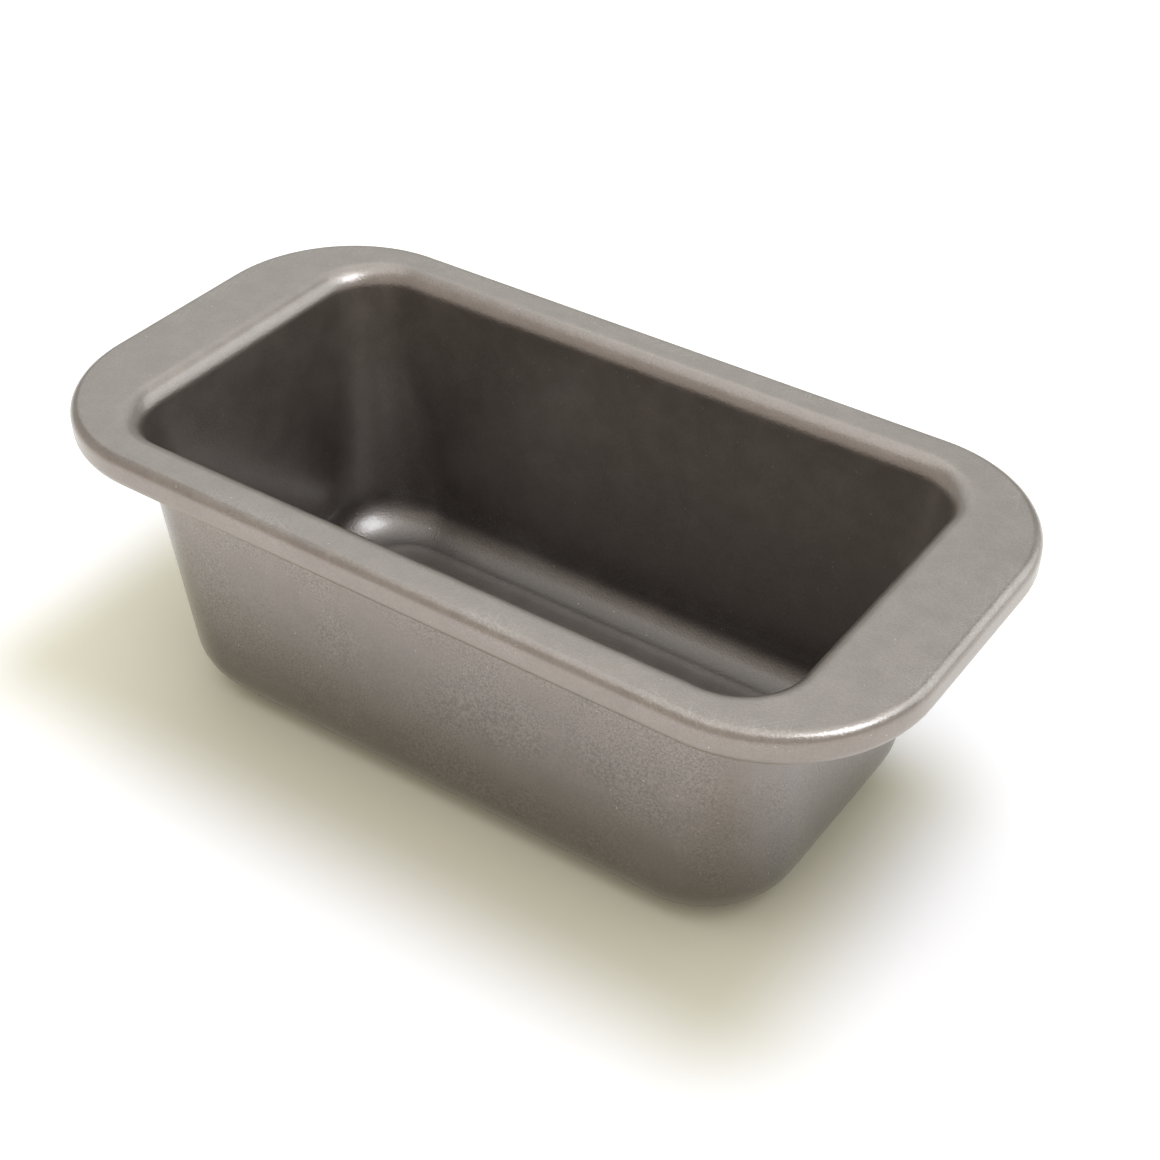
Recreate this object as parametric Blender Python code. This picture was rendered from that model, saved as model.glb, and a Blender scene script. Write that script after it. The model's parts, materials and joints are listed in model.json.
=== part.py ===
# Mini loaf pan: one deep-drawn steel sheet whose flange ends in a bead rolled round a wire.
# Metres, +Z up, +X along the pan, origin on the table under the pan's middle.

import math
from collections import namedtuple

import bmesh
import bpy

# Sheet
SHEET = 0.0007              # thickness of the coated steel
HEIGHT = 0.0555             # table to the top of the flange

# Cavity, between the inner faces
MOUTH_LENGTH = 0.1259       # where the walls would meet the top of the flange
MOUTH_WIDTH = 0.0650
MOUTH_CORNER = 0.0100       # plan radius of the mouth's corners
FLOOR_CORNER = 0.0074       # plan radius of the flat floor's corners
END_WALL_LEAN = 0.0029      # how far an end wall leans in on its way down to the floor
SIDE_WALL_LEAN = 0.0012     # the same for a long wall

# Flange
GRIP_FLAT = 0.0086          # flat between the wall's bend and the bead, at the two ends
SIDE_FLAT = 0.0004          # the same along the long sides
RIM_CORNER = 0.0263         # plan radius of the rim's outer corners

# Bends of the sheet, each as the radius on the inside of the bend
BASE_BEND = 0.0097          # between floor and wall
FLANGE_BEND = 0.0030        # between wall and flange
EDGE_BEND = 0.0011          # where the flange turns down into the bead
EDGE_STRAIGHT = 0.0020      # straight part of the bead's outer face

# Stiffening wire in the bead
WIRE_DIAMETER = 0.0028
WIRE_CLEARANCE = 0.0003     # all round the wire, to the sheet
WIRE_BUTT_GAP = 0.0010      # between the wire's two ends
CURL_SLIT = 0.0005          # between the end of the sheet and the flange above it

# Faces
CORNER_STEPS = 10           # along each quarter turn of an outline
BEND_STEPS = 6              # along a small quarter bend
BASE_BEND_STEPS = 8
CURL_STEPS = 10             # along the half turn round the wire
LEAST_CORNER = 0.0003       # an outline's corner never gets sharper than this
SMOOTH_ANGLE = math.radians(40)

# Sizes that follow from these
EDGE_RADIUS = EDGE_BEND + SHEET
CURL_RADIUS = WIRE_DIAMETER / 2 + WIRE_CLEARANCE + SHEET
BEAD_WIDTH = 2 * CURL_RADIUS
FLANGE_RADIUS = FLANGE_BEND + SHEET
WIRE_HEIGHT = HEIGHT - EDGE_RADIUS - EDGE_STRAIGHT

# A rounded rectangle about the origin, in plan
Outline = namedtuple("Outline", "half_length half_width corner")

# A point of the section: how far it lies outside the outline it follows, its height,
# and the way the visible face looks there, outwards and upwards
Station = namedtuple("Station", "out z look_out look_up")


def grown(outline, by):
    return Outline(outline.half_length + by, outline.half_width + by, outline.corner + by)


def diagonal_reach(outline):
    """How far the outline's corner reaches along the 45 degree diagonal."""
    return (outline.half_length + outline.half_width) / math.sqrt(2) - (math.sqrt(2) - 1) * outline.corner


MOUTH = Outline(MOUTH_LENGTH / 2, MOUTH_WIDTH / 2, MOUTH_CORNER)
FLOOR = Outline(
    MOUTH.half_length - END_WALL_LEAN,
    MOUTH.half_width - SIDE_WALL_LEAN,
    FLOOR_CORNER + BASE_BEND,
)


def rim_outline():
    """The outer edge of the bead. Its corners leave the side flat between bead and bend."""
    half_length = MOUTH.half_length + FLANGE_RADIUS + GRIP_FLAT + BEAD_WIDTH
    half_width = MOUTH.half_width + FLANGE_RADIUS + SIDE_FLAT + BEAD_WIDTH
    needed = diagonal_reach(grown(MOUTH, FLANGE_RADIUS)) + SIDE_FLAT + BEAD_WIDTH
    roundest = ((half_length + half_width) / math.sqrt(2) - needed) / (math.sqrt(2) - 1)
    return Outline(half_length, half_width, min(RIM_CORNER, roundest, half_width))


RIM = rim_outline()


def wall_outline(z):
    """The inner faces of the walls, cut level at height z."""
    share = (z - SHEET) / (HEIGHT - SHEET)
    return Outline(*(low + (high - low) * share for low, high in zip(FLOOR, MOUTH)))


def plan_points(outline):
    """Corner arcs of the outline, clockwise from the right end of the rear (+Y) side."""
    radius = max(outline.corner, LEAST_CORNER)
    centre_x = outline.half_length - radius
    centre_y = outline.half_width - radius
    points = []
    for start, x, y in (
        (90, centre_x, centre_y),
        (0, centre_x, -centre_y),
        (-90, -centre_x, -centre_y),
        (-180, -centre_x, centre_y),
    ):
        for step in range(CORNER_STEPS + 1):
            angle = math.radians(start - 90 * step / CORNER_STEPS)
            points.append((x + radius * math.cos(angle), y + radius * math.sin(angle)))
    return points


def arc(centre_out, centre_z, radius, first, last, steps, hollow=False):
    """Stations along a bend. On a hollow bend the visible face looks at the bend's centre."""
    stations = []
    for step in range(steps + 1):
        angle = math.radians(first + (last - first) * step / steps)
        out, up = math.cos(angle), math.sin(angle)
        side = -1 if hollow else 1
        stations.append(Station(centre_out + radius * out, centre_z + radius * up, side * out, side * up))
    return stations


def cavity_stations():
    """The visible face from the flat floor up the wall to the flange, from the wall's inner face."""
    base = arc(-BASE_BEND, SHEET + BASE_BEND, BASE_BEND, -90, 0, BASE_BEND_STEPS, hollow=True)
    bend = arc(FLANGE_RADIUS, HEIGHT - FLANGE_RADIUS, FLANGE_RADIUS, 180, 90, BEND_STEPS)
    return base + bend


def bead_stations():
    """The visible face from the flange over the edge and round the wire, from the rim's edge."""
    edge = arc(-EDGE_RADIUS, HEIGHT - EDGE_RADIUS, EDGE_RADIUS, 90, 0, BEND_STEPS)
    curl = arc(-CURL_RADIUS, WIRE_HEIGHT, CURL_RADIUS, 0, -180, CURL_STEPS)
    end = Station(-BEAD_WIDTH, HEIGHT - SHEET - CURL_SLIT, -1, 0)
    return edge + curl + [end]


def ring(station, depth, outline_at):
    """Points round the pan at a station, at this depth into the sheet."""
    z = station.z - depth * station.look_up
    outline = grown(outline_at(z), station.out - depth * station.look_out)
    return [(x, y, z) for x, y in plan_points(outline)]


def pan_rings():
    """Every ring of the sheet's surface, from the floor round the sheet's end to the underside."""
    section = [(station, wall_outline) for station in cavity_stations()]
    section += [(station, lambda z: RIM) for station in bead_stations()]
    visible = [ring(station, 0, outline_at) for station, outline_at in section]
    hidden = [ring(station, SHEET, outline_at) for station, outline_at in reversed(section)]
    return visible + hidden


def lofted(name, rings):
    """A closed mesh through rings of equal counts, capped at its first and last ring."""
    bm = bmesh.new()
    loops = [[bm.verts.new(point) for point in points] for points in rings]
    for loop, following in zip(loops, loops[1:]):
        for i in range(len(loop)):
            j = (i + 1) % len(loop)
            bm.faces.new((loop[i], loop[j], following[j], following[i]))
    bm.faces.new(loops[0])
    bm.faces.new(loops[-1])
    bmesh.ops.recalc_face_normals(bm, faces=bm.faces)
    mesh = bpy.data.meshes.new(name)
    bm.to_mesh(mesh)
    bm.free()
    mesh.shade_smooth()
    mesh.set_sharp_from_angle(angle=SMOOTH_ANGLE)
    return mesh


def material(name, colour, roughness, metallic):
    made = bpy.data.materials.new(name)
    made.use_nodes = True
    shader = made.node_tree.nodes["Principled BSDF"]
    shader.inputs["Base Color"].default_value = (*colour, 1)
    shader.inputs["Roughness"].default_value = roughness
    shader.inputs["Metallic"].default_value = metallic
    made.diffuse_color = (*colour, 1)
    return made


def placed(name, data, height, surface, parent):
    made = bpy.data.objects.new(name, data)
    made.data.materials.append(surface)
    made.location.z = height
    made.parent = parent
    bpy.context.scene.collection.objects.link(made)
    return made


def pan_body(parent):
    """Floor, walls, flange and rolled bead: one drawn sheet."""
    coating = material("nonstick_coating", (0.33, 0.295, 0.265), 0.38, 0.85)
    return placed("pan_body", lofted("pan_body", pan_rings()), 0, coating, parent)


def rim_wire(parent):
    """The wire in the bead, open at its butt joint in the middle of the rear side."""
    outline = grown(RIM, -CURL_RADIUS)
    start = (WIRE_BUTT_GAP / 2, outline.half_width)
    end = (-WIRE_BUTT_GAP / 2, outline.half_width)
    route = [start, *plan_points(outline), end]
    curve = bpy.data.curves.new("rim_wire", "CURVE")
    curve.dimensions = "3D"
    curve.bevel_depth = WIRE_DIAMETER / 2
    curve.bevel_resolution = 4
    curve.use_fill_caps = True
    spline = curve.splines.new("POLY")
    spline.points.add(len(route) - 1)
    for point, (x, y) in zip(spline.points, route):
        point.co = (x, y, 0, 1)
    steel = material("bright_steel", (0.56, 0.55, 0.53), 0.3, 1.0)
    return placed("rim_wire", curve, WIRE_HEIGHT, steel, parent)


def main():
    for old in list(bpy.data.objects):
        bpy.data.objects.remove(old)
    whole = bpy.data.objects.new("mini_loaf_pan", None)
    bpy.context.scene.collection.objects.link(whole)
    pan_body(whole)
    rim_wire(whole)


main()
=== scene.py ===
import json
import math

import bpy
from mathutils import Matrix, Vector

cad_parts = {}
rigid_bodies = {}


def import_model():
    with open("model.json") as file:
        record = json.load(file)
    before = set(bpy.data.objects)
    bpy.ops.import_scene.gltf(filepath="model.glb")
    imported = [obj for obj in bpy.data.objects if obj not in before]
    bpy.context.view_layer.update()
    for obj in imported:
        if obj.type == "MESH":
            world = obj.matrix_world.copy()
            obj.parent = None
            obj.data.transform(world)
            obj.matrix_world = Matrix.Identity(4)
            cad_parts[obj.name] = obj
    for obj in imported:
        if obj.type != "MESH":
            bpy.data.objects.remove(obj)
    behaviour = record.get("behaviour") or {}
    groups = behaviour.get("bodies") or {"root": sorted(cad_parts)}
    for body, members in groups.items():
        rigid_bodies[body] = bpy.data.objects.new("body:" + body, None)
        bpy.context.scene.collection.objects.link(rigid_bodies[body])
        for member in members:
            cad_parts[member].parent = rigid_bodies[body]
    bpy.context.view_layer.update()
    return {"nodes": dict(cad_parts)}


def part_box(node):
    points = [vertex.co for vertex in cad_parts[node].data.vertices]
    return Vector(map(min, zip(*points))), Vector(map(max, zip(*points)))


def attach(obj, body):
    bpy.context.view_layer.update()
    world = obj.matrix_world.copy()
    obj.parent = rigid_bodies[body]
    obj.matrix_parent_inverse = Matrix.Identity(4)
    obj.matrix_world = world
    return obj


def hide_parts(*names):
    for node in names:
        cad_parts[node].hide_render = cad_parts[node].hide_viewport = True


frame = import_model()
print("frame loaded:", sorted(frame["nodes"]))

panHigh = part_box("pan_body")[1]  # the pan stands on the origin, so this gives its size
wireLow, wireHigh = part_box("rim_wire")


# Node trees

def addNode(tree, kind, inputs=None, **settings):
    node = tree.nodes.new(kind)
    for key, value in settings.items():
        setattr(node, key, value)
    for key, value in (inputs or {}).items():
        if isinstance(value, bpy.types.NodeSocket):
            tree.links.new(value, node.inputs[key])
        else:
            node.inputs[key].default_value = value
    return node


def math2(tree, operation, a, b=0.0, c=0.0, clamp=False):
    node = addNode(tree, "ShaderNodeMath", {0: a, 1: b, 2: c}, operation=operation, use_clamp=clamp)
    return node.outputs[0]


def times(tree, first, *others):
    for other in others:
        first = math2(tree, "MULTIPLY", first, other)
    return first


def vector2(tree, operation, a, b=(0.0, 0.0, 0.0)):
    return addNode(tree, "ShaderNodeVectorMath", {0: a, 1: b}, operation=operation).outputs["Vector"]


def vectorNumber(tree, operation, a, b=(0.0, 0.0, 0.0)):  # a length, a distance or a dot product
    return addNode(tree, "ShaderNodeVectorMath", {0: a, 1: b}, operation=operation).outputs["Value"]


def scaled(tree, vector, scale):
    node = addNode(tree, "ShaderNodeVectorMath", {0: vector, "Scale": scale}, operation="SCALE")
    return node.outputs["Vector"]


def partsOf(tree, vector):  # its X, Y and Z
    return addNode(tree, "ShaderNodeSeparateXYZ", {0: vector}).outputs


def vectorOf(tree, x, y, z=0.0):
    return addNode(tree, "ShaderNodeCombineXYZ", {"X": x, "Y": y, "Z": z}).outputs[0]


def blendNumber(tree, share, low, high):
    node = addNode(tree, "ShaderNodeMix", {0: share, 2: low, 3: high}, data_type="FLOAT")
    return node.outputs[0]


def blendVector(tree, share, low, high):
    node = addNode(tree, "ShaderNodeMix", {0: share, 4: low, 5: high}, data_type="VECTOR")
    return node.outputs[1]


def newTree(name, kind, inputs, outputs):
    tree = bpy.data.node_groups.new(name, kind)
    for direction, sockets in (("INPUT", inputs), ("OUTPUT", outputs)):
        for label, kindOfSocket in sockets:
            socketType = "NodeSocket" + kindOfSocket
            tree.interface.new_socket(name=label, in_out=direction, socket_type=socketType)
    start = tree.nodes.new("NodeGroupInput")
    end = tree.nodes.new("NodeGroupOutput")
    return tree, start.outputs, end.inputs


def layOut(tree, columnWidth=220, rowHeight=190):  # so that the tree can be read in the editor
    depth = {}
    for _ in range(len(tree.nodes)):
        for link in tree.links:
            reach = depth.get(link.from_node.name, 0) + 1
            if reach > depth.get(link.to_node.name, 0):
                depth[link.to_node.name] = reach
    rows = {}
    for node in tree.nodes:
        column = depth.get(node.name, 0)
        node.location = (columnWidth * column, -rowHeight * rows.get(column, 0))
        rows[column] = rows.get(column, 0) + 1


# Sheet and wire are both drawn as a few corner points, each with the radius of its bend

def bentLine(name, corners):
    mesh = bpy.data.meshes.new(name)
    edges = [(i, i + 1) for i in range(len(corners) - 1)]
    mesh.from_pydata([place for place, bend in corners], edges, [])
    bends = mesh.attributes.new("bend", "FLOAT", "POINT")
    bends.data.foreach_set("value", [bend for place, bend in corners])
    line = bpy.data.objects.new(name, mesh)
    bpy.context.scene.collection.objects.link(line)
    return line


def splitLongTree():  # more points on the straight stretches of a curve, none on its bends
    tree, given, result = newTree(
        "splitLong", "GeometryNodeTree",
        [("Curve", "Geometry"), ("Longest", "Float")], [("Curve", "Geometry")],
    )
    here = addNode(tree, "GeometryNodeInputPosition").outputs[0]
    following = addNode(tree, "GeometryNodeOffsetPointInCurve", {"Offset": 1})
    ahead = addNode(tree, "GeometryNodeFieldAtIndex", data_type="FLOAT_VECTOR", domain="POINT")
    tree.links.new(following.outputs["Point Index"], ahead.inputs["Index"])
    tree.links.new(here, ahead.inputs["Value"])
    reach = vectorNumber(tree, "DISTANCE", here, ahead.outputs[0])
    cuts = math2(tree, "FLOOR", math2(tree, "DIVIDE", reach, given["Longest"]))
    split = addNode(tree, "GeometryNodeSubdivideCurve", {"Curve": given["Curve"], "Cuts": cuts})
    tree.links.new(split.outputs[0], result["Curve"])
    layOut(tree)
    return tree


splitLong = splitLongTree()


def bentCurve(tree, geometry, steps):  # mesh line in, curve with round bends out
    line = addNode(tree, "GeometryNodeMeshToCurve", {"Mesh": geometry}).outputs[0]
    bend = addNode(tree, "GeometryNodeInputNamedAttribute", {"Name": "bend"}, data_type="FLOAT")
    rounded = addNode(tree, "GeometryNodeFilletCurve",
                      {"Curve": line, "Count": steps, "Radius": bend.outputs[0]}, mode="POLY")
    return rounded.outputs[0]


def keepPlace(tree, geometry):  # a curve, and where each of its points was
    node = addNode(tree, "GeometryNodeCaptureAttribute", domain="POINT")
    node.capture_items.new("VECTOR", "place")
    tree.links.new(geometry, node.inputs[0])
    tree.links.new(addNode(tree, "GeometryNodeInputPosition").outputs[0], node.inputs[1])
    return node.outputs[0], node.outputs[1]


def storedAs(tree, geometry, name, value, kind):  # for the materials to read
    node = addNode(tree, "GeometryNodeStoreNamedAttribute",
                   {"Geometry": geometry, "Name": name, "Value": value}, data_type=kind, domain="POINT")
    return node.outputs[0]


def paintedMesh(tree, geometry, material):
    smooth = addNode(tree, "GeometryNodeSetShadeSmooth", {"Geometry": geometry}).outputs[0]
    realized = addNode(tree, "GeometryNodeRealizeInstances", {"Geometry": smooth}).outputs[0]
    node = addNode(tree, "GeometryNodeSetMaterial", {"Geometry": realized, "Material": material})
    return node.outputs[0]


def runTree(line, tree, settings):
    modifier = line.modifiers.new(tree.name, "NODES")
    modifier.node_group = tree
    for socket in tree.interface.items_tree:
        if socket.in_out == "INPUT" and socket.name in settings:
            modifier[socket.identifier] = settings[socket.name]


def asPlainMesh(line, name):  # the evaluated result as an object of its own, with no modifiers
    graph = bpy.context.evaluated_depsgraph_get()
    mesh = bpy.data.meshes.new_from_object(line.evaluated_get(graph))
    mesh.name = name
    for attribute in [a for a in mesh.attributes if a.name == "bend"]:
        mesh.attributes.remove(attribute)
    bpy.data.objects.remove(line)
    piece = bpy.data.objects.new(name, mesh)
    bpy.context.scene.collection.objects.link(piece)
    return piece


# Finishes. Effects are node groups that give masks and values, and the shader stays in the material

black, white = (0, 0, 0, 1), (1, 1, 1, 1)


def noiseAt(tree, place, size, detail, roughness=0.5):  # size is about one blotch, in metres
    scale = math2(tree, "DIVIDE", 1.0, size)
    node = addNode(tree, "ShaderNodeTexNoise",
                   {"Vector": place, "Scale": scale, "Detail": detail, "Roughness": roughness})
    return node.outputs[0]


def ramp(tree, value, low, high, smooth=True):  # 0 below low, 1 above high
    node = addNode(tree, "ShaderNodeMapRange", {"Value": value, "From Min": low, "From Max": high},
                   interpolation_type="SMOOTHSTEP" if smooth else "LINEAR")
    return node.outputs[0]


def blendColour(tree, share, low, high):
    node = addNode(tree, "ShaderNodeMix", {0: share, 6: low, 7: high}, data_type="RGBA")
    return node.outputs[2]


def surfaceValue(tree, name, output="Vector"):  # as the piece's own tree stored it
    return addNode(tree, "ShaderNodeAttribute", attribute_name=name).outputs[output]


def addBump(tree, shader, height, pattern):
    bump = addNode(tree, "ShaderNodeBump", {"Strength": 1.0, "Distance": height, "Height": pattern})
    tree.links.new(bump.outputs["Normal"], shader.inputs["Normal"])


speckleNoise = {
    "grain": (1.5, 0.6),                   # detail and roughness
    "grainRange": (0.25, 0.75),            # of the noise, spread over 0 to 1
    "clouds": (4.0, 0.6),
    "cloudRange": (0.3, 0.7),
}


def speckleTree(v):  # sprayed metal paint: fine grain, soft clouds and sparse bright flakes
    tree, given, result = newTree(
        "speckle", "ShaderNodeTree",
        [("Place", "Vector"), ("Grain Size", "Float"), ("Cloud Size", "Float"),
         ("Flake Spacing", "Float"), ("Flake Size", "Float"), ("Flake Share", "Float")],
        [("Grain", "Float"), ("Clouds", "Float"), ("Flakes", "Float")],
    )
    grain = noiseAt(tree, given["Place"], given["Grain Size"], *v["grain"])
    clouds = noiseAt(tree, given["Place"], given["Cloud Size"], *v["clouds"])
    perMetre = math2(tree, "DIVIDE", 1.0, given["Flake Spacing"])
    cells = addNode(tree, "ShaderNodeTexVoronoi", {"Vector": given["Place"], "Scale": perMetre})
    near = math2(tree, "LESS_THAN", cells.outputs["Distance"],
                 math2(tree, "DIVIDE", given["Flake Size"], given["Flake Spacing"]))
    chance = addNode(tree, "ShaderNodeSeparateColor", {0: cells.outputs["Color"]}).outputs
    picked = math2(tree, "LESS_THAN", chance[0], given["Flake Share"])
    tree.links.new(ramp(tree, grain, *v["grainRange"], smooth=False), result["Grain"])
    tree.links.new(ramp(tree, clouds, *v["cloudRange"]), result["Clouds"])
    tree.links.new(times(tree, near, picked, chance[1]), result["Flakes"])
    layOut(tree)
    return tree


scuffNoise = {
    "turns": (0.35, 1.25, 2.30),           # the ways that the marks run, in radians
    "lineDetail": 1.0,
    "lineRange": (0.61, 0.67),             # only the crests of the noise leave a mark
    "patchDetail": 2.0,
    "patchRange": (0.42, 0.62),
}


def scuffTree(v):  # hair-thin rub marks in patches, running three ways
    tree, given, result = newTree(
        "scuffs", "ShaderNodeTree",
        [("Place", "Vector"), ("Length", "Float"), ("Width", "Float"), ("Patch Size", "Float"),
         ("Amount", "Float")],
        [("Scuffs", "Float")],
    )
    marks = []
    for turn in v["turns"]:
        turned = addNode(tree, "ShaderNodeVectorRotate", {"Vector": given["Place"], "Angle": turn},
                         rotation_type="Z_AXIS").outputs[0]
        part = partsOf(tree, turned)
        stretched = vectorOf(
            tree,
            math2(tree, "DIVIDE", part["X"], given["Length"]),
            math2(tree, "DIVIDE", part["Y"], given["Width"]),
            math2(tree, "DIVIDE", part["Z"], given["Width"]),
        )
        lines = noiseAt(tree, stretched, 1.0, v["lineDetail"])
        marks.append(ramp(tree, lines, *v["lineRange"]))
    patches = noiseAt(tree, given["Place"], given["Patch Size"], v["patchDetail"])
    anyMark = math2(tree, "MAXIMUM", math2(tree, "MAXIMUM", marks[0], marks[1]), marks[2])
    scuffed = times(tree, anyMark, ramp(tree, patches, *v["patchRange"]), given["Amount"])
    tree.links.new(scuffed, result["Scuffs"])
    layOut(tree)
    return tree


speckle = speckleTree(speckleNoise)
scuffs = scuffTree(scuffNoise)


def useGroup(tree, group, inputs):
    return addNode(tree, "ShaderNodeGroup", inputs, node_tree=group).outputs


def objectPlace(tree):
    return addNode(tree, "ShaderNodeTexCoord").outputs["Object"]


def startMaterial(name, values):
    material = bpy.data.materials.new(name)
    material.use_nodes = True
    shader = material.node_tree.nodes["Principled BSDF"]
    shader.inputs["Metallic"].default_value = values["metallic"]
    return material, material.node_tree, shader


coating = {
    "deep": (0.219, 0.193, 0.178),         # between the flakes of the paint
    "bright": (0.408, 0.359, 0.332),
    "metallic": 0.80,
    "roughness": 0.37,
    "roughnessSwing": 0.05,                # with the clouds
    "skinWeight": 0.60,                    # clear skin over the paint
    "skinRoughness": 0.15,
    "sides": (-0.08, 0.08),                # from facing the middle to facing outwards
    # grain, coarse in patches on the drawn walls outside, and clouds
    "grainSize": 0.00040,
    "grainHeight": 0.000026,
    "grainPatch": 0.0140,
    "patchDetail": 2.0,
    "patchRange": (0.38, 0.60),
    "patchGrain": (0.35, 1.15),            # share of the grain between the patches and in them
    "drawnLevels": (0.0495, 0.0470),       # heights where the drawn walls begin, under the bead
    "plainGrain": 0.24,                    # share of the grain everywhere else
    "cloudSize": 0.0055,
    "cloudAmount": 0.18,
    "flakeColour": (0.60, 0.58, 0.55),
    "flakeSpacing": 0.00120,
    "flakeSize": 0.00012,
    "flakeShare": 0.10,
    # painted shade, darker low on the walls outside and at the foot of the inner walls, and painted
    # light, paler on the flat floor
    "paintedShadeLowWalls": 0.53,
    "paintedShadeWallLevels": (0.046, 0.014),          # heights where it starts and where it is full
    "paintedShadeBend": 0.62,
    "paintedFootLevels": (0.038, 0.005),
    "paintedShadeBendEase": 0.37,                      # how much less of that shade in the middle of the bend
    "paintedShadeBendStart": (0.48, 0.66),             # how far up the bend faces where its middle starts
    "paintedShadeBendEnd": (0.95, 0.74),               # and where it ends
    "paintedLightFloorLift": 0.10,
    "floorFacing": (0.970, 1.002),         # how far up a face looks, from the bend to the floor
    # wear
    "wornColour": (0.46, 0.43, 0.40),
    "wornPolish": 0.12,                    # how much smoother the worn places are
    "rimInset": (0.0006, 0.0004),          # of the rubbed line, in and down from the rim's edge
    "rubWidth": 0.0011,
    "rubShare": 0.35,
    "rubSize": 0.0035,
    "rubNoise": (3.0, 0.7),
    "rubRange": (0.5, 0.75),
    "scuffLength": 0.0120,
    "scuffWidth": 0.00016,
    "scuffPatch": 0.0200,
    "scuffAmount": 0.5,
    "scuffReach": 0.0050,                  # inwards from the rim's edge
    "underLevels": (0.0003, 0.0001),       # heights between which the underside's scuffs set in
}


def coatingFinish(v):
    material, tree, shader = startMaterial("nonstickCoating", v)
    shader.inputs["Coat Weight"].default_value = v["skinWeight"]
    shader.inputs["Coat Roughness"].default_value = v["skinRoughness"]
    place = objectPlace(tree)
    level = partsOf(tree, place)["Z"]
    paint = useGroup(tree, speckle, {
        "Place": place, "Grain Size": v["grainSize"], "Cloud Size": v["cloudSize"],
        "Flake Spacing": v["flakeSpacing"], "Flake Size": v["flakeSize"],
        "Flake Share": v["flakeShare"],
    })
    marks = useGroup(tree, scuffs, {
        "Place": place, "Length": v["scuffLength"], "Width": v["scuffWidth"],
        "Patch Size": v["scuffPatch"], "Amount": v["scuffAmount"],
    })["Scuffs"]

    # the rim's outer edge rubs on shelves and hands, the underside on whatever it stands on
    rimIn, rimDown = v["rimInset"]
    rimEdge = (panHigh.x - rimIn, 0, panHigh.z - rimDown)
    away = vectorNumber(tree, "DISTANCE", surfaceValue(tree, "section"), rimEdge)
    blotches = noiseAt(tree, place, v["rubSize"], *v["rubNoise"])
    rubbed = times(tree, ramp(tree, away, v["rubWidth"], 0.0), ramp(tree, blotches, *v["rubRange"]),
                   v["rubShare"])
    under = times(tree, ramp(tree, level, *v["underLevels"]), marks)
    byEdge = times(tree, ramp(tree, away, v["scuffReach"], v["rubWidth"]), marks)
    worn = math2(tree, "MAXIMUM", math2(tree, "MAXIMUM", rubbed, under), byEdge)

    facing = addNode(tree, "ShaderNodeNewGeometry").outputs["Normal"]
    upward = partsOf(tree, facing)["Z"]
    outFrom = vector2(tree, "MULTIPLY", place, (1 / panHigh.x, 1 / panHigh.y, 0))
    outside = ramp(tree, vectorNumber(tree, "DOT_PRODUCT", facing, outFrom), *v["sides"])
    inside = math2(tree, "SUBTRACT", 1.0, outside)

    patches = ramp(tree, noiseAt(tree, place, v["grainPatch"], v["patchDetail"]), *v["patchRange"])
    coarse = times(tree, outside, ramp(tree, level, *v["drawnLevels"]),
                   blendNumber(tree, patches, *v["patchGrain"]))
    grainSwing = math2(tree, "SUBTRACT", paint["Grain"], 0.5)
    cloudSwing = math2(tree, "SUBTRACT", paint["Clouds"], 0.5)
    shade = math2(tree, "ADD", times(tree, grainSwing, math2(tree, "MAXIMUM", coarse, v["plainGrain"])),
                  times(tree, cloudSwing, v["cloudAmount"]))
    shade = math2(tree, "ADD", shade, 0.5)
    colour = blendColour(tree, shade, (*v["deep"], 1), (*v["bright"], 1))

    # painted shade: the outer walls are darkened towards the bottom
    lowWallPaintedShade = times(tree, ramp(tree, level, *v["paintedShadeWallLevels"], smooth=False), outside)
    # painted shade round the bend at the foot of the inner walls, eased in the middle of the bend; the
    # same foot mask carries the painted light on the flat floor
    paintedFootMask = ramp(tree, level, *v["paintedFootLevels"], smooth=False)
    flat = ramp(tree, upward, *v["floorFacing"], smooth=False)
    paintedShadeEased = times(tree, ramp(tree, upward, *v["paintedShadeBendStart"]), ramp(tree, upward, *v["paintedShadeBendEnd"]),
                  v["paintedShadeBendEase"])
    bend = times(tree, paintedFootMask, inside, math2(tree, "SUBTRACT", 1.0, math2(tree, "MAXIMUM", flat, paintedShadeEased)))
    # the painted shade of the low outer walls and of the inner bend together, blended towards black
    dark = math2(tree, "ADD", times(tree, lowWallPaintedShade, v["paintedShadeLowWalls"]), times(tree, bend, v["paintedShadeBend"]))
    colour = blendColour(tree, dark, colour, black)
    # painted light: the flat floor is made paler, blended towards white
    colour = blendColour(tree, times(tree, paintedFootMask, flat, v["paintedLightFloorLift"]), colour, white)
    colour = blendColour(tree, paint["Flakes"], colour, (*v["flakeColour"], 1))
    colour = blendColour(tree, worn, colour, (*v["wornColour"], 1))
    tree.links.new(colour, shader.inputs["Base Color"])

    rough = math2(tree, "ADD", times(tree, cloudSwing, v["roughnessSwing"]), v["roughness"])
    rough = math2(tree, "SUBTRACT", rough, times(tree, worn, v["wornPolish"]))
    tree.links.new(rough, shader.inputs["Roughness"])
    addBump(tree, shader, v["grainHeight"], paint["Grain"])
    layOut(tree)
    return material


wireSteel = {
    "dark": (0.50, 0.49, 0.47),
    "light": (0.62, 0.61, 0.59),
    "metallic": 1.0,
    "roughness": 0.26,
    "drawSize": 0.00012,                   # across one draw line
    "drawLength": 0.0300,
    "drawNoise": (3.0, 0.7),
    "lineHeight": 0.000006,
    "lineShare": 0.7,                      # of the shade from the draw lines, and the rest from stains
    "stainShare": 0.3,
    "stainSize": 0.0040,
    "stainRoughness": 0.10,
}


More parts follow.
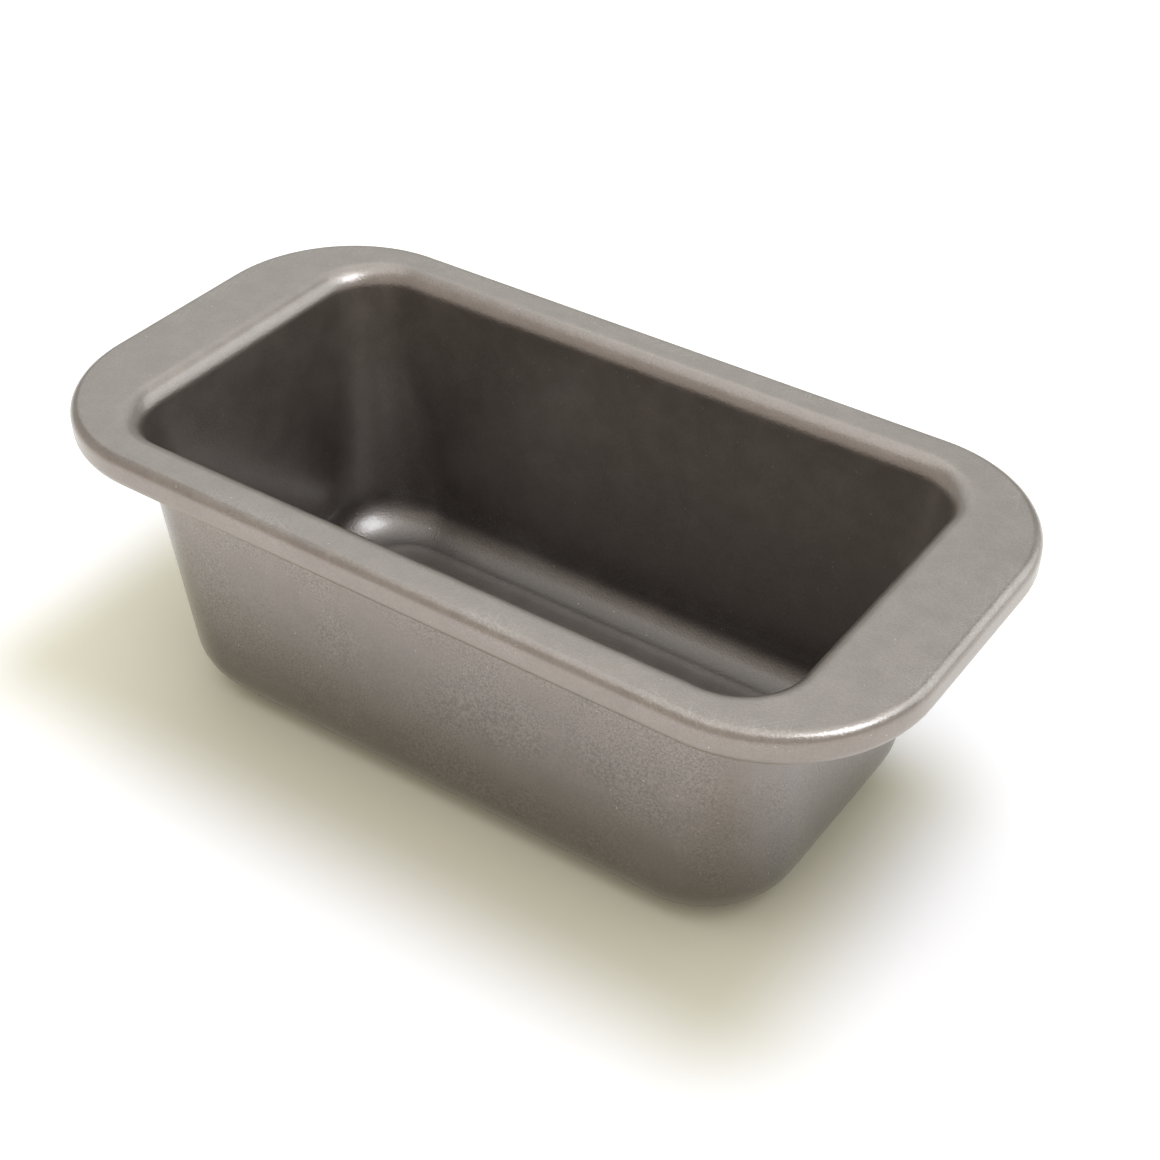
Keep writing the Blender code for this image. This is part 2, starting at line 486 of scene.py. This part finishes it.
def steelFinish(v):
    material, tree, shader = startMaterial("drawnSteel", v)
    ring = partsOf(tree, surfaceValue(tree, "ring"))
    along = times(tree, surfaceValue(tree, "along", "Fac"), v["drawSize"] / v["drawLength"])
    lines = noiseAt(tree, vectorOf(tree, ring["X"], ring["Y"], along), v["drawSize"], *v["drawNoise"])
    speckled = useGroup(tree, speckle, {"Place": objectPlace(tree), "Cloud Size": v["stainSize"]})
    stains = speckled["Clouds"]
    shade = math2(tree, "ADD", times(tree, lines, v["lineShare"]), times(tree, stains, v["stainShare"]))
    colour = blendColour(tree, shade, (*v["dark"], 1), (*v["light"], 1))
    tree.links.new(colour, shader.inputs["Base Color"])
    rough = math2(tree, "ADD", times(tree, stains, v["stainRoughness"]), v["roughness"])
    tree.links.new(rough, shader.inputs["Roughness"])
    addBump(tree, shader, v["lineHeight"], lines)
    layOut(tree)
    return material


coatingMaterial = coatingFinish(coating)
steelMaterial = steelFinish(wireSteel)
print("materials made")


# Pan body: the section at the middle of a grip, swept round the mouth's outline

panSheet = {
    "sheet": 0.0007,
    "mouthLength": 0.1259,
    "mouthWidth": 0.0650,
    "mouthCorner": 0.0100,
    "endLean": 0.0029,
    "sideLean": 0.0012,
    "floorCorner": 0.0171,     # plan radius where the walls, carried on down, would meet the floor
    "rimCorner": 0.0263,
    "baseBend": 0.0097,
    "flangeBend": 0.0037,
    "edgeBend": 0.0018,
    "beadRadius": 0.0024,
    "beadHeight": 0.0062,
    "slit": 0.0005,            # from the sheet's end to the flange above it
    "cornerSteps": 24,
    "bendSteps": 14,
    "longest": 0.0022,         # of the edges along straight stretches
    "smoothAngle": 40,         # degrees, past which an edge shows as sharp
    "weld": 0.000001,          # closes the middle of the floor
}


def sweptSheetTree():
    tree, given, result = newTree(
        "sweptSheet", "GeometryNodeTree",
        [("Section", "Geometry")]
        + [(label, "Float") for label in (
            "Mouth Length", "Mouth Width", "Mouth Corner", "End Lean", "Side Lean", "Floor Corner",
            "Rim Length", "Rim Width", "Rim Corner", "Height", "Sheet",
            "Flat Floor", "Flange Start", "Flange End", "Longest", "Weld")]
        + [("Corner Steps", "Int"), ("Bend Steps", "Int"), ("Material", "Material")],
        [("Mesh", "Geometry")],
    )

    def halved(lengthSocket, widthSocket):
        return scaled(tree, vectorOf(tree, given[lengthSocket], given[widthSocket]), 0.5)

    # the two curves
    path = addNode(tree, "GeometryNodeCurvePrimitiveQuadrilateral",
                   {"Width": given["Mouth Length"], "Height": given["Mouth Width"]}, mode="RECTANGLE")
    path = addNode(tree, "GeometryNodeFilletCurve",
                   {"Curve": path.outputs[0], "Count": given["Corner Steps"],
                    "Radius": given["Mouth Corner"]}, mode="POLY")
    section = bentCurve(tree, given["Section"], given["Bend Steps"])
    placed = []
    for curve in (path.outputs[0], section):
        split = addNode(tree, "GeometryNodeGroup", node_tree=splitLong)
        tree.links.new(curve, split.inputs["Curve"])
        tree.links.new(given["Longest"], split.inputs["Longest"])
        placed.append(keepPlace(tree, split.outputs[0]))
    (path, onPath), (section, onSection) = placed
    swept = addNode(tree, "GeometryNodeCurveToMesh", {"Curve": path, "Profile Curve": section})

    # where a point of the path lies: the centre its corner turns about, and the way out from there
    mouthHalf = halved("Mouth Length", "Mouth Width")
    radius = given["Mouth Corner"]
    mouthCentre = vector2(tree, "SUBTRACT", mouthHalf, vectorOf(tree, radius, radius))
    centre = vector2(tree, "MINIMUM", onPath, mouthCentre)
    centre = vector2(tree, "MAXIMUM", centre, scaled(tree, mouthCentre, -1.0))
    outwards = vector2(tree, "NORMALIZE", vector2(tree, "SUBTRACT", onPath, centre))

    # the outline that a point of the section follows
    onSectionParts = partsOf(tree, onSection)
    across, height = onSectionParts["X"], onSectionParts["Z"]
    up = math2(tree, "DIVIDE", math2(tree, "SUBTRACT", height, given["Sheet"]),
               math2(tree, "SUBTRACT", given["Height"], given["Sheet"]))
    lean = vectorOf(tree, given["End Lean"], given["Side Lean"])
    wallHalf = blendVector(tree, up, vector2(tree, "SUBTRACT", mouthHalf, lean), mouthHalf)
    wallCorner = blendNumber(tree, up, given["Floor Corner"], given["Mouth Corner"])
    onFlange = math2(tree, "DIVIDE", math2(tree, "SUBTRACT", across, given["Flange Start"]),
                     math2(tree, "SUBTRACT", given["Flange End"], given["Flange Start"]), clamp=True)
    half = blendVector(tree, onFlange, wallHalf, halved("Rim Length", "Rim Width"))
    corner = blendNumber(tree, onFlange, wallCorner, given["Rim Corner"])

    # the place: out from the corner's centre, and inside the flat floor shrunk towards the middle
    turning = vector2(tree, "SUBTRACT", half, vectorOf(tree, corner, corner))
    turning = vector2(tree, "MULTIPLY", centre, vector2(tree, "DIVIDE", turning, mouthCentre))
    beyond = math2(tree, "SUBTRACT", math2(tree, "MAXIMUM", across, given["Flat Floor"]),
                   partsOf(tree, half)["X"])
    reach = scaled(tree, outwards, math2(tree, "ADD", corner, beyond))
    inner = math2(tree, "DIVIDE", across, given["Flat Floor"], clamp=True)
    flat = partsOf(tree, scaled(tree, vector2(tree, "ADD", turning, reach), inner))
    place = vectorOf(tree, flat["X"], flat["Y"], height)

    kept = storedAs(tree, swept.outputs[0], "section", onSection, "FLOAT_VECTOR")
    moved = addNode(tree, "GeometryNodeSetPosition", {"Geometry": kept, "Position": place}).outputs[0]
    joined = addNode(tree, "GeometryNodeMergeByDistance",
                     {"Geometry": moved, "Distance": given["Weld"]})
    tree.links.new(paintedMesh(tree, joined.outputs[0], given["Material"]), result["Mesh"])
    layOut(tree)
    return tree


def makePanBody(v):
    endIn = v["mouthLength"] / 2
    rim = panHigh.x
    height = panHigh.z
    wireLevel = height - v["beadHeight"] + v["beadRadius"]
    beadIn = rim - 2 * v["beadRadius"]
    beadLow = wireLevel - v["beadRadius"]
    line = bentLine("panSection", [
        ((0, 0, v["sheet"]), 0),
        ((endIn - v["endLean"], 0, v["sheet"]), v["baseBend"]),
        ((endIn, 0, height), v["flangeBend"]),
        ((rim, 0, height), v["edgeBend"]),
        ((rim, 0, beadLow), v["beadRadius"]),
        ((beadIn, 0, beadLow), v["beadRadius"]),
        ((beadIn, 0, height - v["sheet"] - v["slit"]), 0),
    ])
    runTree(line, sweptSheetTree(), {
        "Mouth Length": v["mouthLength"], "Mouth Width": v["mouthWidth"],
        "Mouth Corner": v["mouthCorner"], "Floor Corner": v["floorCorner"],
        "End Lean": v["endLean"], "Side Lean": v["sideLean"],
        "Rim Length": 2 * panHigh.x, "Rim Width": 2 * panHigh.y, "Rim Corner": v["rimCorner"],
        "Height": height, "Sheet": v["sheet"],
        "Flat Floor": endIn - v["endLean"] - v["baseBend"],
        "Flange Start": endIn + v["flangeBend"], "Flange End": beadIn,
        "Corner Steps": v["cornerSteps"], "Bend Steps": v["bendSteps"],
        "Longest": v["longest"], "Weld": v["weld"], "Material": coatingMaterial,
    })
    thick = line.modifiers.new("sheet", "SOLIDIFY")
    thick.thickness = v["sheet"]
    thick.offset = -1
    thick.use_even_offset = True
    body = asPlainMesh(line, "panBody")
    body.data.set_sharp_from_angle(angle=math.radians(v["smoothAngle"]))
    return body


panBody = makePanBody(panSheet)
print("pan body:", len(panBody.data.polygons), "faces")


# Wire in the bead, open at its butt joint in the middle of the rear side

rimWireSizes = {
    "buttGap": 0.0010,
    "cornerSteps": 32,
    "ringSteps": 20,
}


def wireTree():
    tree, given, result = newTree(
        "bentWire", "GeometryNodeTree",
        [("Line", "Geometry"), ("Radius", "Float"), ("Corner Steps", "Int"), ("Ring Steps", "Int"),
         ("Material", "Material")],
        [("Mesh", "Geometry")],
    )
    route = bentCurve(tree, given["Line"], given["Corner Steps"])
    travelled = addNode(tree, "GeometryNodeSplineParameter").outputs["Length"]
    route = storedAs(tree, route, "along", travelled, "FLOAT")
    ring = addNode(tree, "GeometryNodeCurvePrimitiveCircle",
                   {"Resolution": given["Ring Steps"], "Radius": given["Radius"]}).outputs[0]
    onRing = addNode(tree, "GeometryNodeInputPosition").outputs[0]
    ring = storedAs(tree, ring, "ring", onRing, "FLOAT_VECTOR")
    swept = addNode(tree, "GeometryNodeCurveToMesh",
                    {"Curve": route, "Profile Curve": ring, "Fill Caps": True}).outputs[0]
    tree.links.new(paintedMesh(tree, swept, given["Material"]), result["Mesh"])
    layOut(tree)
    return tree


def makeRimWire(v):
    radius = (wireHigh.z - wireLow.z) / 2
    level = (wireHigh.z + wireLow.z) / 2
    alongX, alongY = panHigh.x - panSheet["beadRadius"], panHigh.y - panSheet["beadRadius"]
    bend = panSheet["rimCorner"] - panSheet["beadRadius"]
    gap = v["buttGap"] / 2
    line = bentLine("wireRoute", [
        ((gap, alongY, level), 0),
        ((alongX, alongY, level), bend),
        ((alongX, -alongY, level), bend),
        ((-alongX, -alongY, level), bend),
        ((-alongX, alongY, level), bend),
        ((-gap, alongY, level), 0),
    ])
    runTree(line, wireTree(), {
        "Radius": radius, "Corner Steps": v["cornerSteps"], "Ring Steps": v["ringSteps"],
        "Material": steelMaterial,
    })
    wire = asPlainMesh(line, "rimWire")
    wire.data.set_sharp_from_angle(angle=math.radians(panSheet["smoothAngle"]))
    return wire


rimWire = makeRimWire(rimWireSizes)
print("rim wire:", len(rimWire.data.polygons), "faces")


# Table, light and camera

stage = {
    "tableHalf": 1.5,
    "tableDrop": 0.00005,                  # keeps the table's face and the pan's underside apart
    "tableColour": (0.965, 0.935, 0.785),
    "tableRoughness": 0.8,
    "tableSpecular": 0.2,
    "tableGlow": (0.36, 0.375, 0.51),      # seen by the camera and in reflections only
    "paintedShadowHalf": (0.0690, 0.0265),          # half size of the painted shadow round the pan, a patch that has no glow
    "paintedShadowMiddle": (-0.0095, -0.0120),
    "paintedShadowReach": 0.0270,                   # from that painted shadow to the full glow
    "backSky": (0.47, 0.475, 0.43),
    "frontSky": (0.72, 0.67, 0.60),
    "backAzimuth": -175,                   # the middle of the back sky
    "backElevation": 35,
    "skyBlend": (-0.35, 0.75),             # from front to back, by the cosine of the angle to there
}

# name, azimuth, elevation, distance, width, height, radiance and colour of each lamp,
# and whether it lights everything or is only reflected
lamps = [
    ("overhead", 180, 88, 0.90, 1.15, 1.15, 1.05, (0.95, 0.98, 0.99), True),
    ("window", 90, 52, 1.00, 0.40, 0.50, 8.2, (0.86, 0.93, 1.0), False),
    ("rearRight", 139, 28, 1.00, 0.70, 0.86, 1.45, (0.90, 0.96, 1.0), False),
    ("rearLeft", -141, 39, 1.00, 0.95, 0.60, 0.66, (0.86, 0.91, 0.95), True),
]

view = {
    "azimuth": 34.89,
    "elevation": 38.06,
    "distance": 0.3406,
    "target": (0.00558, 0.00476, 0.02775),
    "lens": 61.67,
    "sensor": 36,
    "nearest": 0.01,
}


def towards(azimuth, elevation):  # azimuth from the front, turning to the right
    a, e = math.radians(azimuth), math.radians(elevation)
    return Vector((math.sin(a) * math.cos(e), -math.cos(a) * math.cos(e), math.sin(e)))


def makeTable(v):
    half, low = v["tableHalf"], -v["tableDrop"]
    mesh = bpy.data.meshes.new("table")
    corners = [(-half, -half, low), (half, -half, low), (half, half, low), (-half, half, low)]
    mesh.from_pydata(corners, [], [(0, 1, 2, 3)])
    table = bpy.data.objects.new("table", mesh)
    bpy.context.scene.collection.objects.link(table)
    material = bpy.data.materials.new("paleTable")
    material.use_nodes = True
    tree = material.node_tree
    shader = tree.nodes["Principled BSDF"]
    shader.inputs["Base Color"].default_value = (*v["tableColour"], 1)
    shader.inputs["Roughness"].default_value = v["tableRoughness"]
    shader.inputs["Specular IOR Level"].default_value = v["tableSpecular"]
    rays = addNode(tree, "ShaderNodeLightPath").outputs
    seen = math2(tree, "MAXIMUM", rays["Is Camera Ray"], rays["Is Glossy Ray"])
    seen = math2(tree, "MAXIMUM", seen, rays["Is Transmission Ray"])
    # painted shadow: the glow is left out of a patch round the pan and rises to full beyond it
    fromMiddle = vector2(tree, "SUBTRACT", objectPlace(tree), (*v["paintedShadowMiddle"], 0))
    beside = vector2(tree, "SUBTRACT", vector2(tree, "ABSOLUTE", fromMiddle), (*v["paintedShadowHalf"], 0))
    away = vectorNumber(tree, "LENGTH", vector2(tree, "MAXIMUM", beside))
    shader.inputs["Emission Color"].default_value = (*v["tableGlow"], 1)
    glowBeyondPaintedShadow = times(tree, seen, ramp(tree, away, 0.0, v["paintedShadowReach"]))
    tree.links.new(glowBeyondPaintedShadow, shader.inputs["Emission Strength"])
    mesh.materials.append(material)
    return table


def makeSky(v):
    world = bpy.data.worlds.new("studio")
    world.use_nodes = True
    tree = world.node_tree
    toBack = tuple(towards(v["backAzimuth"], v["backElevation"]))
    direction = addNode(tree, "ShaderNodeTexCoord").outputs["Generated"]
    share = ramp(tree, vectorNumber(tree, "DOT_PRODUCT", direction, toBack), *v["skyBlend"])
    colour = blendColour(tree, share, (*v["frontSky"], 1), (*v["backSky"], 1))
    fromCamera = addNode(tree, "ShaderNodeLightPath").outputs["Is Camera Ray"]
    colour = blendColour(tree, fromCamera, colour, white)
    tree.links.new(colour, tree.nodes["Background"].inputs["Color"])
    bpy.context.scene.world = world


def makeLamps(rows):
    middle = Vector((0, 0, panHigh.z / 2))
    for name, azimuth, elevation, distance, width, height, radiance, colour, lights in rows:
        data = bpy.data.lights.new(name, "AREA")
        data.shape = "RECTANGLE"
        data.size, data.size_y = width, height
        data.energy = radiance * math.pi * width * height
        data.color = colour
        lamp = bpy.data.objects.new(name, data)
        lamp.visible_diffuse = lights
        direction = towards(azimuth, elevation)
        lamp.location = middle + direction * distance
        lamp.rotation_euler = direction.to_track_quat("Z", "Y").to_euler()
        bpy.context.scene.collection.objects.link(lamp)


def makeCamera(v):
    data = bpy.data.cameras.new("camera")
    data.lens = v["lens"]
    data.sensor_width = v["sensor"]
    data.clip_start = v["nearest"]
    camera = bpy.data.objects.new("camera", data)
    direction = towards(v["azimuth"], v["elevation"])
    camera.location = Vector(v["target"]) + direction * v["distance"]
    camera.rotation_euler = direction.to_track_quat("Z", "Y").to_euler()
    bpy.context.scene.collection.objects.link(camera)
    bpy.context.scene.camera = camera


table = makeTable(stage)
makeSky(stage)
makeLamps(lamps)
makeCamera(view)
bpy.context.scene.view_settings.view_transform = "Standard"
print("stage, light and camera made")

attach(panBody, "root")
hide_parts("pan_body")
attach(rimWire, "root")
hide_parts("rim_wire")
